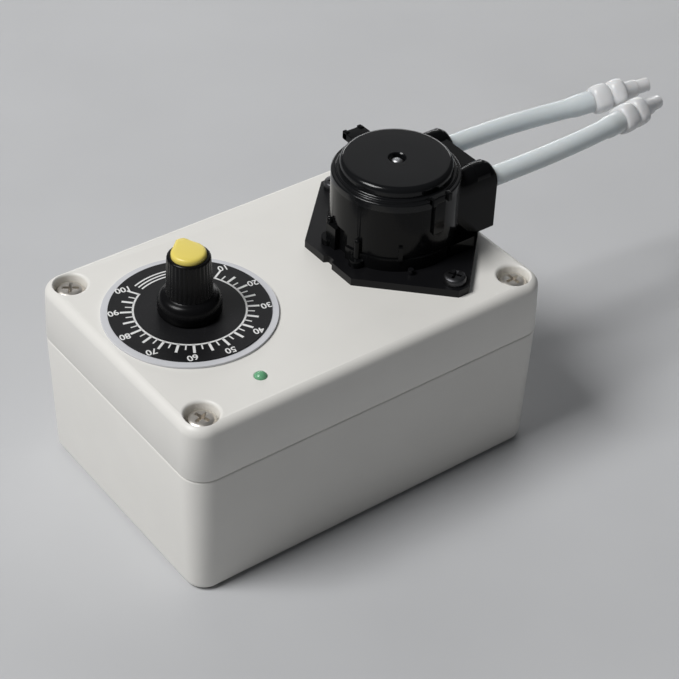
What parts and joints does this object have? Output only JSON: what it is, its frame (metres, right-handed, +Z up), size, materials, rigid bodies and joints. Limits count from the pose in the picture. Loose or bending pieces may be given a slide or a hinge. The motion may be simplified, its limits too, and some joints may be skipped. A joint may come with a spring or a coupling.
{
  "type": "peristaltic pump",
  "caption": "Small bench peristaltic pump: a roller head on a closed plastic control box, with a speed dial and knob, a lamp and two soft tubes with barbed connectors.",
  "frame": {"origin": "centre of the box on its flat bottom face", "axes": "+X along the box towards the pump head and its tubes, +Y towards the long side with the power inlet, +Z up"},
  "size_m": [0.1607, 0.0698, 0.0725],
  "materials": {
    "box_plastic": "satin warm off-white ABS, fine moulded texture",
    "seal_rubber": "matte",
    "nickel_steel": "nickel plated, semi bright",
    "clear_plastic": "frosted clear acrylic",
    "printed_black": "black screen print with white scale",
    "knob_black": "glossy black",
    "knob_yellow": "satin yellow",
    "brass": "plain",
    "plated_steel": "zinc plated",
    "carbon": "carbon, matte",
    "tinned_brass": "tinned",
    "led_green": "diffused green lens",
    "board_green": "solder mask",
    "component_sleeve": "shrink sleeve",
    "component_black": "moulded epoxy",
    "terminal_green": "moulded",
    "head_black": "glossy black ABS",
    "plate_black": "satin black",
    "magnet_ceramic": "sintered ferrite",
    "bronze": "sintered bronze",
    "ground_steel": "ground bright",
    "armature_steel": "laminations and windings",
    "copper": "copper segments",
    "dark_steel": "dark nickel",
    "carrier_white": "natural acetal",
    "roller_white": "natural nylon",
    "silicone": "translucent, slightly milky",
    "connector_clear": "natural translucent polypropylene"
  },
  "bodies": {
    "housing": {"enclosure_base": "box_plastic", "enclosure_lid": "box_plastic", "lid_seal": "seal_rubber", "lid_screws": "nickel_steel", "dial_backing": "clear_plastic", "dial_face": "printed_black", "pot_body": "plated_steel", "pot_track": "carbon", "pot_terminals": "tinned_brass", "pot_washer": "plated_steel", "pot_nut": "nickel_steel", "led_lens": "led_green", "led_leads": "tinned_brass", "control_pcb": "board_green", "pcb_screws": "nickel_steel", "pcb_capacitor": "component_sleeve", "pcb_transistor": "component_black", "pcb_chip": "component_black", "pcb_terminals": "terminal_green", "jack_body": "head_black", "jack_nut": "nickel_steel", "jack_contacts": "tinned_brass", "motor_can": "plated_steel", "motor_magnets": "magnet_ceramic", "motor_end_cap": "component_black", "motor_bearings": "bronze", "motor_brushes": "carbon", "motor_terminals": "tinned_brass", "motor_screws": "nickel_steel", "mount_plate": "plate_black", "mount_screws": "dark_steel", "mount_nuts": "nickel_steel", "pump_body": "head_black", "pump_cap": "head_black", "pump_tube": "silicone", "inlet_tube": "silicone", "outlet_tube": "silicone", "inlet_connector": "connector_clear", "outlet_connector": "connector_clear"},
    "speed_knob": {"knob_body": "knob_black", "knob_cap": "knob_yellow", "pot_shaft": "nickel_steel", "pot_wiper": "brass"},
    "motor_rotor": {"motor_shaft": "ground_steel", "motor_armature": "armature_steel", "motor_commutator": "copper", "friction_bush": "ground_steel"},
    "roller_carrier": {"carrier_lower": "carrier_white", "carrier_upper": "carrier_white", "roller_pins": "ground_steel"},
    "roller_one": {"roller_1": "roller_white"},
    "roller_two": {"roller_2": "roller_white"},
    "roller_three": {"roller_3": "roller_white"}
  },
  "joints": [
    {"name": "knob_turn", "type": "hinge", "parent": "housing", "child": "speed_knob", "pos_m": [-0.0269, 0.0031, 0.05], "axis": [0, 0, 1], "range_deg": [-300, 0]},
    {"name": "motor_spin", "type": "hinge", "parent": "housing", "child": "motor_rotor", "pos_m": [0.029, -0.0002, 0.03], "axis": [0, 0, 1], "continuous": true},
    {"name": "carrier_spin", "type": "hinge", "parent": "housing", "child": "roller_carrier", "pos_m": [0.029, -0.0002, 0.063], "axis": [0, 0, 1], "continuous": true},
    {"name": "roller_one_spin", "type": "hinge", "parent": "roller_carrier", "child": "roller_one", "pos_m": [0.0326, 0.00604, 0.063], "axis": [0, 0, 1], "continuous": true},
    {"name": "roller_two_spin", "type": "hinge", "parent": "roller_carrier", "child": "roller_two", "pos_m": [0.0218, -0.0002, 0.063], "axis": [0, 0, 1], "continuous": true},
    {"name": "roller_three_spin", "type": "hinge", "parent": "roller_carrier", "child": "roller_three", "pos_m": [0.0326, -0.00644, 0.063], "axis": [0, 0, 1], "continuous": true}
  ],
  "couplings": [
    {"joint": "carrier_spin", "follows": "motor_spin", "ratio": 0.22222},
    {"joint": "roller_one_spin", "follows": "motor_spin", "ratio": -0.62222},
    {"joint": "roller_two_spin", "follows": "motor_spin", "ratio": -0.62222},
    {"joint": "roller_three_spin", "follows": "motor_spin", "ratio": -0.62222}
  ]
}
